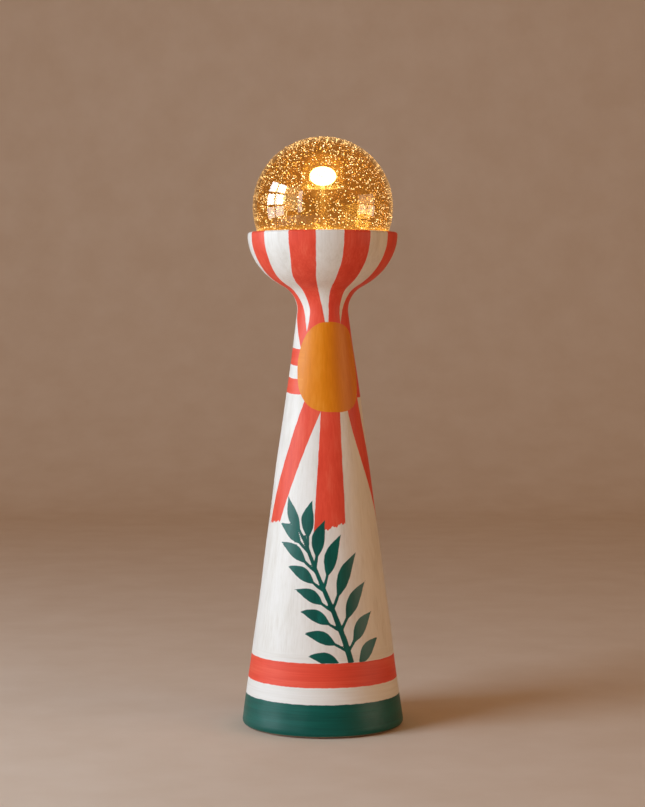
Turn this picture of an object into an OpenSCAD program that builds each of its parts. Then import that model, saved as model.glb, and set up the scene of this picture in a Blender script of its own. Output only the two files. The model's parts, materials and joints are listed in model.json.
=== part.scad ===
// Cordless table lamp: a painted clay cone that opens into a cup, and a seeded glass globe in the cup.
// Millimetres, +Z up. The origin is on the table, under the middle of the foot. The back of the lamp is +Y.

/* [Overall] */
// Height of the whole lamp, from the table to the top of the globe
total_h = 420; // [350:1:510]
// Outer diameter of the glass globe
globe_d = 100; // [83:1:103]
// Height of the globe's centre above the cup's rim
globe_rise = 18; // [14:0.5:24]

/* [Clay body] */
// Diameter that the cone would have at the table
base_d = 115.5; // [108:0.5:139]
// Outer diameter of the neck at its waist
neck_d = 36.4; // [32:0.2:44]
// Outer diameter of the cup's rim
rim_d = 107; // [106:0.5:128]
// Depth of the cup's outer curve below its lip
bowl_h = 43; // [40:0.5:50]
// Steepest lean of the neck's curve where it runs into the bowl, in degrees
join_lean = 63; // [58:1:66]
// Thickness of the cone's wall
wall = 6; // [5:0.5:7.2]
// Thickness of the cup's wall at the rim
cup_wall = 4.5; // [3.5:0.25:5.4]
// Thickness of clay under the cup's floor
cup_floor = 10; // [7:0.5:13]
// Depth of the cup, from the lip down to its flat floor
cup_depth = 36; // [33:0.5:38]
// Rounding of the rim's two edges
lip_r = 1.8; // [1:0.1:2.1]
// Rounding of the foot's outer edge
foot_r = 3; // [1:0.25:4]
// Width of the ledge inside the foot that the base plate bears on
ledge_w = 4.4; // [3.6:0.2:5.4]

/* [Glass globe] */
// Thickness of the globe's glass
glass_t = 3; // [2.5:0.1:3.6]
// Outer diameter of the globe's neck
mouth_d = 46; // [44:0.5:47]
// How far the lip at the end of the neck stands out
mouth_lip = 1; // [0.5:0.1:1.2]
// Height of that lip
mouth_lip_h = 3; // [2:0.25:4]
// Travel of the globe when it is lifted off
globe_lift = 95; // [92:1:120]

/* [Light] */
// Thickness of the cork washer on the cup's floor
cork_t = 1.5; // [1:0.25:2]
// Thickness of the spun brass gallery
gallery_t = 1.2; // [0.8:0.1:1.5]
// Height of the gallery's upstanding wall
gallery_h = 7; // [5:0.25:9]
// Thickness of the silicone ring under the glass
gasket_t = 1.8; // [1.4:0.1:2.2]
// Outer diameter of the brass post
post_d = 14; // [12:0.5:16.8]
// Diameter of the dish on top of the post
dish_d = 34; // [33.5:0.5:37]
// Height of the dish
dish_h = 5; // [4:0.5:6]
// Depth of the LED's middle below the top of the globe, in mm
light_drop = 28; // [26:0.5:32]
// Outer diameter of the frosted cover
cover_d = 31; // [30:0.5:32]
// Thickness of the frosted cover
cover_t = 1.2; // [0.8:0.1:1.5]
// Height of the frosted cover above the dish
cover_h = 23; // [20:0.5:25]
// Diameter of the LED dome
dome_d = 19; // [16:0.5:20]
// Height of the LED dome
dome_h = 14; // [12:0.5:16.5]

/* [Stem] */
// Outer diameter of the threaded tube
stem_d = 10; // [8:0.5:10]
// Bore of the threaded tube
stem_bore = 7; // [5:0.5:8]
// Across flats of the stem's two nuts
stem_nut_af = 16; // [14:0.5:17]
// Thickness of the stem's two nuts
stem_nut_t = 3; // [2:0.25:3.6]
// Diameter of the hole through the clay under the cup
neck_bore = 13; // [12:0.5:15]

/* [Base] */
// Thickness of the felt ring that the lamp stands on
felt_t = 2; // [1.5:0.25:3]
// Height of the clay foot above the table
foot_gap = 0.8; // [0.4:0.1:1.2]
// Thickness of the pressed base plate
plate_t = 2; // [1.5:0.25:2.5]
// Height of the dome pressed in the middle of the base plate
plate_rise = 6; // [5:0.25:8]
// Thickness of the washer under the base plate
washer_t = 1.5; // [1:0.25:2]

/* [Power] */
// Diameter of each battery cell
cell_d = 18.4; // [18:0.1:21]
// Length of each battery cell
cell_l = 65; // [54:0.5:70]
// Distance from the stem to the middle of each cell
cell_x = 24; // [23:0.5:26]
// Width of the driver board
board_w = 42; // [35:1:44]
// Height of the driver board
board_h = 50; // [42:1:56]
// Thickness of the driver board
board_t = 1.6; // [1.2:0.2:2]

/* [Rear fittings] */
// Height of the charging socket above the table
usb_z = 27; // [25:1:32]
// Height of the push switch above the table
switch_z = 56; // [54:1:67]
// Outer diameter of both threaded barrels
barrel_d = 16; // [14:0.5:17]
// Diameter of the bezels
bezel_d = 20; // [18.5:0.5:22]
// Thickness of the bezels
bezel_t = 2; // [1.5:0.25:3]
// Thickness of the gaskets under the bezels
seal_t = 0.6; // [0.5:0.1:1]
// Length of the barrels behind their bezels
barrel_l = 17; // [14.5:0.5:20]
// Diameter of the push button
button_d = 11; // [9:0.5:12.5]
// Travel of the push button
button_travel = 1.5; // [1:0.1:1.8]
// How far the button stands out of its bezel
button_proud = 2.2; // [2:0.1:3]

/* [Hidden] */
$fn = 96;

clear = 0.2;          // gap between pieces that slide or drop into each other
thread_clear = 0.05;  // gap between a thread and what screws on it
bite = 1;             // how far a cutting tool runs past a face

// ---- clay body ----
globe_r = globe_d / 2;
globe_z = total_h - globe_r;
rim_z = globe_z - globe_rise;
rim_r = rim_d / 2;
neck_r = neck_d / 2;
base_r = base_d / 2;
bowl_z = rim_z - lip_r;      // where the bowl's curves stand upright
floor_z = rim_z - cup_depth;
web_z = floor_z - cup_floor;

// The bowl is a quarter ellipse, and join_t is where its slope is join_lean.
join_t = atan(bowl_h / rim_r * tan(join_lean));
join_pt = [rim_r * cos(join_t), bowl_z - bowl_h * sin(join_t)];
// The neck's hollow curve is an arc that touches the ellipse there and is neck_r from the axis at its waist.
neck_arc = (join_pt[0] - neck_r) / (1 - cos(join_lean));
waist_z = join_pt[1] - neck_arc * sin(join_lean);
arc_mid = [neck_r + neck_arc, waist_z];
lute_z = (waist_z + web_z) / 2;                                // where the cone and the cup are joined
// The cone's side runs from the table line up to that arc, and touches it.
to_mid = arc_mid - [base_r, 0];
cone_lean = atan2(-to_mid[0], to_mid[1]) + asin(neck_arc / norm(to_mid));
function cone_r(z) = base_r - z * tan(cone_lean);
function cavity_r(z) = cone_r(z) - wall / cos(cone_lean);
neck_hole_r = cavity_r(waist_z);

// Points of an arc about mid, from one angle to another, in equal steps.
function arc(mid, r, from, to, steps) =
    [for (i = [0:steps]) let (a = from + (to - from) * i / steps) mid + r * [cos(a), sin(a)]];
// Points of the ellipse about [0, z], t measured down from the upright end.
function bowl(a, b, z, from, to, steps) =
    [for (i = [0:steps]) let (t = from + (to - from) * i / steps) [a * cos(t), z - b * sin(t)]];

cup_r = rim_r - cup_wall;               // inside radius of the cup at the lip
cup_h = bowl_h - 4;                     // depth of the inner ellipse, which the flat floor cuts off
floor_t = asin((bowl_z - floor_z) / cup_h);
ledge_z = felt_t + plate_t;
plate_r = cone_r(ledge_z) - wall - 1;   // radius of the base plate
rebate_r = plate_r + clear * 2;
ledge_r = plate_r - ledge_w;

clay_outline = concat(
    [[rebate_r, foot_gap]],
    arc([cone_r(foot_gap) - foot_r, foot_gap + foot_r], foot_r, -90, cone_lean, 6),
    arc(arc_mid, neck_arc, 180 + cone_lean, 180 - join_lean, 12),
    bowl(rim_r, bowl_h, bowl_z, join_t - 4, 0, 14),
    arc([rim_r - lip_r, bowl_z], lip_r, 15, 90, 5),
    arc([cup_r + lip_r, bowl_z], lip_r, 90, 165, 5),
    bowl(cup_r, cup_h, bowl_z, 0, floor_t, 14),
    [[neck_bore / 2, floor_z], [neck_bore / 2, web_z], [neck_hole_r, web_z],
     [neck_hole_r, waist_z], [cavity_r(ledge_z + 12), ledge_z + 12], [ledge_r, ledge_z + 5],
     [ledge_r, ledge_z], [rebate_r, ledge_z]]
);

// Puts children on the cone's back at height z, with local +Z pointing straight out of the wall.
module on_wall(z) {
    translate([0, cone_r(z), z]) rotate([cone_lean - 90, 0, 0]) children();
}

// ---- rear fittings, in the frame of on_wall ----
bezel_r = bezel_d / 2;
barrel_r = barrel_d / 2;
spot_r = bezel_r + 0.5;                                       // flat sunk in the clay under a bezel
spot_depth = cone_r(switch_z) - sqrt(pow(cone_r(switch_z), 2) - pow(spot_r, 2)) + clear;
nut_r = barrel_r + 3;                                         // corner radius of a barrel's nut
inner_spot_r = nut_r + 0.5;
inner_spot = wall - clear;                                    // depth of the flat that the nut seats on
nut_t = 2.5;
bezel_z = seal_t - spot_depth;                                // underside of a bezel
face_z = bezel_z + bezel_t;                                   // front of a bezel
barrel_end = bezel_z - barrel_l;

// ---- light ----
cork_z = floor_z;
gallery_z = cork_z + cork_t;
gallery_top = gallery_z + gallery_t;
gasket_top = gallery_top + gasket_t;
mouth_z = gasket_top + clear;                                 // lower end of the globe's neck
mouth_r = mouth_d / 2;
neck_top = globe_z - sqrt(pow(globe_r - glass_t, 2) - pow(mouth_r - glass_t, 2)) + 0.5;
lip_or = mouth_r + mouth_lip;
gallery_r = lip_or + clear * 2;                               // inside radius of the gallery's wall
stem_r = stem_d / 2;
nut_top = gallery_top + stem_nut_t;
dome_mid = total_h - light_drop;
board_top = dome_mid - dome_h / 2;
led_board_t = 1.6;
led_board_r = dome_d / 2 + 3.6;
pocket_z = board_top - led_board_t;                           // floor of the dish's pocket
dish_top = pocket_z + 3;
dish_z = dish_top - dish_h;
dish_r = dish_d / 2;
post_r = post_d / 2;
rod_r = stem_bore / 2 + 1.5;                                  // slimmer post above the stem
stem_top = nut_top + 12;
flare_r = 10;                                                 // hollow curve under the dish
lead_d = 2.6;
screw_at = led_board_r - 1.8;

// ---- base ----
plate_z = felt_t;
crown_r = stem_nut_af * 0.9;                                  // flat top of the plate's dome
crown_z = plate_z + plate_rise;
washer_z = crown_z - washer_t;
base_nut_z = washer_z - stem_nut_t;
stem_foot = base_nut_z - 0.5;
felt_in = crown_r + plate_rise;

// ---- power ----
slab_z = crown_z + plate_t + 1;       // underside of the holder's lower slab
slab_t = 2;
contact_t = 1;
cell_z = slab_z + slab_t + contact_t;
cell_r = cell_d / 2;
cell_top = cell_z + cell_l;
top_slab_z = cell_top + contact_t;
slab_w = cell_d + 3;
slab_l = 2 * cell_x + cell_d + 3;
leg_x = cell_x + 6;
leg_y = slab_w / 2 - 4;
leg_r = 3;
leg_screw_r = 1.25;
rib_x = stem_r + 6.5;                 // ribs between the cells and the stem
rib_t = 1.8;
stem_gap = stem_r + 1;                // hole in the slabs around the stem
standoff_h = 3;
board_y = -(slab_w / 2 + standoff_h); // the board's face that looks at the cells
board_z = slab_z + 4;
lead_hole_z = top_slab_z + slab_t + 14;
standoff_x = board_w / 2 - 4;
standoff_z = [slab_z + slab_t / 2, top_slab_z + slab_t / 2];

// A hexagonal nut with a round hole, standing on z = 0. r is the radius to its corners.
module nut(r, t, hole_r) {
    difference() {
        cylinder(h = t, r = r, $fn = 6);
        translate([0, 0, -bite]) cylinder(h = t + 2 * bite, r = hole_r);
    }
}

// A flat ring standing on z = 0.
module ring(r, hole_r, t) {
    difference() {
        cylinder(h = t, r = r);
        translate([0, 0, -bite]) cylinder(h = t + 2 * bite, r = hole_r);
    }
}

// ================= clay and glass =================
// The cone and the cup are thrown apart and luted together, wet, at lute_z, then fired and painted as one.
module clay_body() {
    color("ivory") difference() {
        rotate_extrude() polygon(clay_outline);
        translate([0, 0, lute_z]) cylinder(h = total_h, r = base_d);
        for (z = [usb_z, switch_z]) on_wall(z) {
            translate([0, 0, -wall * 2]) cylinder(h = wall * 3, r = barrel_r + clear);
            translate([0, 0, -spot_depth]) cylinder(h = wall, r = spot_r);
            translate([0, 0, -inner_spot - wall]) cylinder(h = wall, r = inner_spot_r);
        }
    }
}

module clay_cup() {
    color("ivory") difference() {
        rotate_extrude() polygon(clay_outline);
        translate([0, 0, lute_z - total_h]) cylinder(h = total_h, r = base_d);
    }
}

// One blown piece: the globe above neck_top and its neck below it.
module blown_glass() {
    difference() {
        union() {
            translate([0, 0, globe_z]) sphere(r = globe_r);
            translate([0, 0, mouth_z]) cylinder(h = globe_r / 2, r = mouth_r);
            translate([0, 0, mouth_z]) cylinder(h = mouth_lip_h, r = lip_or);
        }
        translate([0, 0, globe_z]) sphere(r = globe_r - glass_t);
        translate([0, 0, mouth_z - globe_r]) cylinder(h = globe_r * 1.5, r = mouth_r - glass_t);
    }
}

module glass_globe() {
    color("goldenrod", 0.5) difference() {
        blown_glass();
        translate([0, 0, neck_top - globe_d]) cylinder(h = globe_d, r = globe_d);
    }
}

module globe_neck() {
    color("goldenrod", 0.5) difference() {
        blown_glass();
        translate([0, 0, neck_top]) cylinder(h = globe_d * 2, r = globe_d);
    }
}

module globe_gasket() {
    color("dimgray") translate([0, 0, gallery_top])
        ring(gallery_r - clear, mouth_r - glass_t - 0.5, gasket_t);
}

// ================= light =================
module gallery() {
    color("darkgoldenrod") difference() {
        union() {
            translate([0, 0, gallery_z]) cylinder(h = gallery_t, r = gallery_r + gallery_t);
            translate([0, 0, gallery_z]) ring(gallery_r + gallery_t, gallery_r, gallery_h);
        }
        translate([0, 0, gallery_z - bite]) cylinder(h = gallery_t + 2 * bite, r = stem_r + clear);
    }
}

module cork_washer() {
    r = min(gallery_r, cup_r * cos(floor_t)) - 3;
    color("peru") translate([0, 0, cork_z]) ring(r, stem_r + clear, cork_t);
}

module gallery_nut() {
    color("silver") translate([0, 0, gallery_top])
        nut(stem_nut_af / 2 / cos(30), stem_nut_t, stem_r + thread_clear);
}

module led_post() {
    color("darkgoldenrod") difference() {
        rotate_extrude() polygon(concat(
            [[0, nut_top], [post_r, nut_top], [post_r, stem_top + 2]],
            [[rod_r, stem_top + 6], [rod_r, dish_z - flare_r]],
            arc([rod_r + flare_r, dish_z - flare_r], flare_r, 170, 90, 6),
            [[dish_r, dish_z + 1], [dish_r, dish_top], [dish_r - 0.8, dish_top + 0.6], [0, dish_top + 0.6]]
        ));
        translate([0, 0, nut_top - bite]) cylinder(h = stem_top - nut_top + bite, r = stem_r + thread_clear);
        translate([0, 0, nut_top]) cylinder(h = total_h, r = stem_bore / 2);
        translate([0, 0, pocket_z]) cylinder(h = dish_h * 2, r = led_board_r + clear);
        translate([0, 0, dish_top - 1.5]) ring(cover_d / 2 + clear, cover_d / 2 - cover_t - clear, dish_h);
    }
}

module led_board() {
    color("whitesmoke") difference() {
        translate([0, 0, pocket_z]) cylinder(h = led_board_t, r = led_board_r);
        for (side = [-1, 1]) translate([side * screw_at, 0, pocket_z - bite]) cylinder(h = 5, r = 0.9);
        translate([0, 0, pocket_z - bite]) cylinder(h = 5, r = lead_d / 2 + clear);
    }
}

module led_board_screws() {
    color("silver") for (side = [-1, 1]) translate([side * screw_at, 0, pocket_z]) {
        cylinder(h = led_board_t, r = 0.85);
        translate([0, 0, led_board_t]) cylinder(h = 0.9, r = 1.5);
    }
}

module led_dome() {
    color("lightyellow") translate([0, 0, board_top]) difference() {
        union() {
            cylinder(h = dome_h - dome_d / 2, r = dome_d / 2);
            translate([0, 0, dome_h - dome_d / 2]) intersection() {
                sphere(r = dome_d / 2);
                cylinder(h = dome_d, r = dome_d);
            }
        }
        translate([0, 0, -bite]) cylinder(h = bite + 1.5, r = lead_d / 2 + clear);
    }
}

module frosted_cover() {
    cover_r = cover_d / 2;
    color("white", 0.4) translate([0, 0, dish_top - 1.5]) difference() {
        union() {
            cylinder(h = cover_h + 1.5 - cover_r, r = cover_r);
            translate([0, 0, cover_h + 1.5 - cover_r]) sphere(r = cover_r);
        }
        translate([0, 0, cover_h + 1.5 - cover_r]) sphere(r = cover_r - cover_t);
        translate([0, 0, -cover_r]) cylinder(h = cover_h + 1.5, r = cover_r - cover_t);
        translate([0, 0, -2 * cover_d]) cylinder(h = 2 * cover_d, r = cover_d);
    }
}

// ================= stem =================
module stem_tube() {
    color("silver") difference() {
        translate([0, 0, stem_foot]) cylinder(h = stem_top - stem_foot, r = stem_r);
        translate([0, 0, stem_foot - bite]) cylinder(h = stem_top - stem_foot + 2 * bite, r = stem_bore / 2);
        translate([0, 0, lead_hole_z]) rotate([120, 0, 0]) cylinder(h = stem_d * 2, r = lead_d / 2 + 1.4);
    }
}

module stem_bush() {
    color("dimgray") translate([0, 0, web_z - 1.5]) {
        ring(neck_bore / 2 - clear, stem_r + thread_clear, cup_floor + 1.5);
        ring(neck_bore / 2 + 2, neck_bore / 2 - clear, 1.5);
    }
}

// ================= base =================
module base_plate() {
    color("gray") difference() {
        rotate_extrude() polygon([
            [stem_r + clear, crown_z], [crown_r, crown_z], [felt_in, plate_z], [plate_r, plate_z],
            [plate_r, plate_z + plate_t], [felt_in + 0.8, plate_z + plate_t],
            [crown_r + 0.8, crown_z + plate_t], [stem_r + clear, crown_z + plate_t]
        ]);
        for (side = [-1, 1], back = [-1, 1]) translate([side * leg_x, back * leg_y, plate_z - bite])
            cylinder(h = plate_t + 2 * bite, r = leg_screw_r + clear);
    }
}

module base_washer() {
    color("silver") translate([0, 0, washer_z]) ring(stem_nut_af * 0.65, stem_r + clear, washer_t);
}

module base_nut() {
    color("silver") translate([0, 0, base_nut_z])
        nut(stem_nut_af / 2 / cos(30), stem_nut_t, stem_r + thread_clear);
}

module felt_ring() {
    color("darkslategray") difference() {
        ring(plate_r, felt_in, felt_t);
        for (side = [-1, 1], back = [-1, 1]) translate([side * leg_x, back * leg_y, felt_t - 0.9])
            cylinder(h = felt_t, r = 2.4 + clear);
    }
}

// ================= power =================
module battery_holder() {
    color("black") difference() {
        union() {
            for (z = [slab_z, top_slab_z]) translate([-slab_l / 2, -slab_w / 2, z])
                cube([slab_l, slab_w, slab_t]);
            for (side = [-1, 1]) translate([side * rib_x - rib_t / 2, -6, slab_z])
                cube([rib_t, 12, top_slab_z - slab_z + slab_t]);
            for (side = [-1, 1], back = [-1, 1]) translate([side * leg_x, back * leg_y, plate_z + plate_t])
                cylinder(h = slab_z - plate_z - plate_t, r = leg_r);
        }
        for (z = [slab_z, top_slab_z]) translate([0, 0, z - bite])
            cylinder(h = slab_t + 2 * bite, r = stem_gap);
        for (side = [-1, 1], back = [-1, 1]) translate([side * leg_x, back * leg_y, plate_z])
            cylinder(h = plate_t + 7, r = leg_screw_r);
    }
}

module holder_screws() {
    color("silver") for (side = [-1, 1], back = [-1, 1]) translate([side * leg_x, back * leg_y, plate_z]) {
        cylinder(h = plate_t + 6, r = leg_screw_r - 0.05);
        translate([0, 0, -0.8]) cylinder(h = 0.8, r = 2.4);
    }
}

module battery_cell(side) {
    color("seagreen") translate([side * cell_x, 0, cell_z]) {
        cylinder(h = cell_l - 1, r = cell_r);
        translate([0, 0, cell_l - 1]) cylinder(h = 1, r = 2.75);
    }
}

module cell_contacts() {
    color("silver") for (side = [-1, 1], z = [cell_z - contact_t, cell_top])
        translate([side * cell_x - 4, -4, z]) cube([8, 8, contact_t]);
}

module driver_board() {
    color("darkgreen") difference() {
        translate([-board_w / 2, board_y - board_t, board_z - 4]) cube([board_w, board_t, board_h + 4]);
        for (side = [-1, 1]) translate([side * standoff_x, board_y + bite, standoff_z[0]]) rotate([90, 0, 0])
            cylinder(h = board_t + 2 * bite, r = 1.2);
    }
}

module board_standoffs() {
    color("gold") for (side = [-1, 1])
        translate([side * standoff_x, -slab_w / 2, standoff_z[0]]) rotate([90, 0, 0]) {
            cylinder(h = standoff_h, r = 2);
            cylinder(h = standoff_h + board_t + 0.6, r = 1.1);
            translate([0, 0, standoff_h + board_t]) cylinder(h = 1, r = 2);
        }
}

part_y = board_y - board_t;
plug_x = 8;                                         // the side leads pass the stem at this distance
plug_z = [usb_z - 6, switch_z - 6];                 // heights of the charge plug and the switch plug
led_plug = [3, part_y - 2.5, board_z + board_h - 2];
module driver_parts() {
    // Each part is [x, z above the board's foot, width, height, thickness].
    parts = [[-12, 26, 9, 9, 4], [2, 30, 6, 6, 1.6], [12, 30, 5, 5, 1.2],
             [-13, 12, 7, 7, 3], [8, 14, 4, 4, 2]];
    color("dimgray") for (p = parts) translate([p[0] - p[2] / 2, part_y - p[4], board_z + p[1]])
        cube([p[2], p[4], p[3]]);
    color("ivory") for (side = [0, 1])
        translate([(side * 2 - 1) * plug_x, board_y, plug_z[side]]) difference() {
            translate([-3, 0, -3]) cube([6, 5, 6]);
            translate([0, 3, 0]) rotate([-90, 0, 0]) cylinder(h = 5, r = side_lead_d / 2 + 0.2);
        }
    color("ivory") translate(led_plug) difference() {
        translate([-3, -2.5, -6]) cube([6, 5, 6]);
        translate([0, 0, -2]) cylinder(h = 5, r = lead_d / 2 + 0.1);
    }
}

// ================= rear fittings =================
module switch_barrel() {
    color("darkgoldenrod") on_wall(switch_z) difference() {
        union() {
            translate([0, 0, bezel_z]) cylinder(h = bezel_t - 0.5, r = bezel_r);
            translate([0, 0, face_z - 0.5]) cylinder(h = 0.5, r1 = bezel_r, r2 = bezel_r - 0.5);
            translate([0, 0, barrel_end]) cylinder(h = barrel_l + bezel_t / 2, r = barrel_r);
        }
        translate([0, 0, barrel_end - bite]) cylinder(h = barrel_l * 2, r = button_d / 2 + clear);
    }
}

core_front = face_z - button_travel - 6 - clear;   // where the pressed button stops
module switch_core() {
    color("black") on_wall(switch_z) {
        translate([0, 0, barrel_end - 3])
            cylinder(h = core_front - barrel_end + 3, r = (button_d + clear) / 2);
        difference() {
            translate([0, 0, barrel_end - 6]) cylinder(h = 3.5, r = 3.5);
            translate([0, 0, barrel_end - 6 - bite]) cylinder(h = bite + 2, r = side_lead_d / 2 + 0.35);
        }
    }
}

module power_button() {
    color("khaki") on_wall(switch_z) {
        translate([0, 0, face_z - 6]) cylinder(h = 6 + button_proud - 0.6, r = button_d / 2);
        translate([0, 0, face_z + button_proud - 0.6])
            cylinder(h = 0.6, r1 = button_d / 2, r2 = button_d / 2 - 0.6);
    }
}

module barrel_gasket() {
    translate([0, 0, -spot_depth]) ring(bezel_r - 0.4, barrel_r + clear / 2, seal_t);
}

module barrel_nut() {
    translate([0, 0, -inner_spot - nut_t]) nut(nut_r, nut_t, barrel_r + thread_clear);
}

module switch_gasket() { color("black") on_wall(switch_z) barrel_gasket(); }
module switch_nut() { color("silver") on_wall(switch_z) barrel_nut(); }
module usb_gasket() { color("black") on_wall(usb_z) barrel_gasket(); }
module usb_nut() { color("silver") on_wall(usb_z) barrel_nut(); }

// The rounded slot of a USB-C plug, grown by extra on every side, standing on z = 0.
usb_w = 8.94;
usb_h = 3.26;
module usb_slot(extra, h) {
    for (side = [-1, 1]) translate([side * (usb_w - usb_h) / 2, 0, 0]) cylinder(h = h, r = usb_h / 2 + extra);
    translate([-(usb_w - usb_h) / 2, -usb_h / 2 - extra, 0]) cube([usb_w - usb_h, usb_h + 2 * extra, h]);
}

usb_shell = 0.3;
usb_depth = 6.5;
module usb_barrel() {
    color("darkgoldenrod") on_wall(usb_z) difference() {
        union() {
            translate([0, 0, bezel_z]) cylinder(h = bezel_t - 0.5, r = bezel_r);
            translate([0, 0, face_z - 0.5]) cylinder(h = 0.5, r1 = bezel_r, r2 = bezel_r - 0.5);
            translate([0, 0, barrel_end]) cylinder(h = barrel_l + bezel_t / 2, r = barrel_r);
        }
        translate([0, 0, barrel_end - bite]) usb_slot(usb_shell + 0.05, barrel_l * 2);
    }
}

module usb_socket() {
    color("silver") on_wall(usb_z) {
        difference() {
            translate([0, 0, barrel_end - 1.5]) usb_slot(usb_shell, face_z - barrel_end + 1.5);
            translate([0, 0, face_z - usb_depth]) usb_slot(0, usb_depth + bite);
        }
        translate([-3.35, -0.35, face_z - usb_depth]) cube([6.7, 0.7, usb_depth - 1]);
        difference() {
            translate([-4.5, -2.5, barrel_end - 6]) cube([9, 5, 5]);
            translate([0, 0, barrel_end - 6 - bite]) cylinder(h = bite + 2, r = side_lead_d / 2 + 0.35);
        }
    }
}

// ================= leads =================
// Both ends of every lead sit in a hole or on a contact.
side_lead_d = 2;
led_route = [
    led_plug - [0, 0, 1.9], led_plug + [0, 0, 8], [2.5, part_y + 1.5, lead_hole_z - 14],
    [1.5, board_y + 7.7, lead_hole_z - 8], [0.5, -10, lead_hole_z - 5.7], [0, -5, lead_hole_z - 2.8],
    [0, -1.5, lead_hole_z + 1.4], [0, -0.2, lead_hole_z + 6.5], [0, 0, lead_hole_z + 13],
    [0, 0, stem_top - 80], [0, 0, stem_top], [0, 0, pocket_z - 6], [0, 0, board_top + 1]
];
function behind(z, d) = [0, cone_r(z), z] + d * [0, cos(cone_lean), sin(cone_lean)];
function side_route(z, x, plug) = [
    behind(z, barrel_end - 4.2), behind(z, barrel_end - 9), [x * 0.6, 15, plug + 1.5], [x, 9, plug + 1],
    [x, 0, plug + 0.6], [x, board_y + 7.5, plug], [x, board_y + 3.1, plug]
];

// Sweeps a round tube along a route. ref is a direction that the route never runs along.
function unit(v) = v / norm(v);
function heading(p, i) = unit(p[min(i + 1, len(p) - 1)] - p[max(i - 1, 0)]);
function ring_at(p, i, r, ref, sides) =
    let (t = heading(p, i), u = unit(cross(t, ref)), v = cross(t, u))
    [for (k = [0:sides - 1]) p[i] + r * (cos(360 * k / sides) * u + sin(360 * k / sides) * v)];
// Rounds a route: each stretch is cut into steps along a Catmull-Rom curve.
function curve(p, i, s) =
    let (a = p[max(i - 1, 0)], b = p[i], c = p[i + 1], d = p[min(i + 2, len(p) - 1)])
    0.5 * (2 * b + (c - a) * s + (2 * a - 5 * b + 4 * c - d) * s * s + (3 * b - a - 3 * c + d) * s * s * s);
function smooth(p, steps) =
    concat([for (i = [0:len(p) - 2], k = [0:steps - 1]) curve(p, i, k / steps)], [p[len(p) - 1]]);
module tube(route, d, ref, sides = 8) {
    n = len(route);
    polyhedron(
        points = [for (i = [0:n - 1]) each ring_at(route, i, d / 2, ref, sides)],
        faces = concat(
            [[for (k = [0:sides - 1]) k]],
            [for (i = [0:n - 2], k = [0:sides - 1]) let (a = i * sides, m = (k + 1) % sides)
                [a + k, a + sides + k, a + sides + m, a + m]],
            [[for (k = [sides - 1:-1:0]) (n - 1) * sides + k]]
        )
    );
}

module led_lead() { color("white") tube(smooth(led_route, 3), lead_d, [1, 0, 0.1]); }
module switch_lead() {
    color("red") tube(smooth(side_route(switch_z, plug_x, plug_z[1]), 4), side_lead_d, [1, 0.1, 2]);
}
module charge_lead() {
    color("black") tube(smooth(side_route(usb_z, -plug_x, plug_z[0]), 4), side_lead_d, [1, 0.1, 2]);
}
module battery_lead() {
    y = (board_y - cell_r) / 2;
    route = [
        [-cell_x, -4.05, cell_top + 0.5], [-cell_x, -8, cell_top + 0.5], [-cell_x + 1, y - 1, cell_top - 1],
        [-cell_x + 3, y - 1, cell_top - 8], [-cell_x + 5, y - 0.8, board_z + board_h + 1],
        [-cell_x + 6, y - 1.2, board_z + board_h - 3], [-cell_x + 6, board_y + 0.3, board_z + board_h - 5]
    ];
    color("red") for (side = [0, 1]) mirror([side, 0, 0]) tube(smooth(route, 4), 0.9, [1, 0, 0.2]);
}

// ================= what is drawn =================
clay_body();
clay_cup();
glass_globe();
globe_neck();
globe_gasket();
gallery();
cork_washer();
gallery_nut();
stem_tube();
stem_bush();
led_post();
led_board();
led_board_screws();
led_dome();
frosted_cover();
base_plate();
base_washer();
base_nut();
felt_ring();
battery_holder();
holder_screws();
battery_cell(-1);  // battery_left
battery_cell(1);  // battery_right
cell_contacts();
driver_board();
board_standoffs();
driver_parts();
switch_barrel();
switch_core();
power_button();
switch_gasket();
switch_nut();
usb_barrel();
usb_socket();
usb_gasket();
usb_nut();
led_lead();
switch_lead();
charge_lead();
battery_lead();
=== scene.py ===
# %% [markdown]
# # A painted clay lamp with a bubble-glass globe
# This lesson dresses a finished mechanical model of a table lamp. The frame holds every CAD part in metres, with
# +Z up, the table at z = 0 and the back of the lamp towards +Y. Parts whose shape is right keep it and get a better
# material. The clay body and the glass globe are made again here, because their beauty is in what CAD leaves out:
# a hand-shaped wall with brushed paint on it, and thousands of bubbles caught in the glass.

# %% Load the frame
import json
import math
import bmesh
import bpy
import numpy as np
from mathutils import Matrix, Vector

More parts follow.
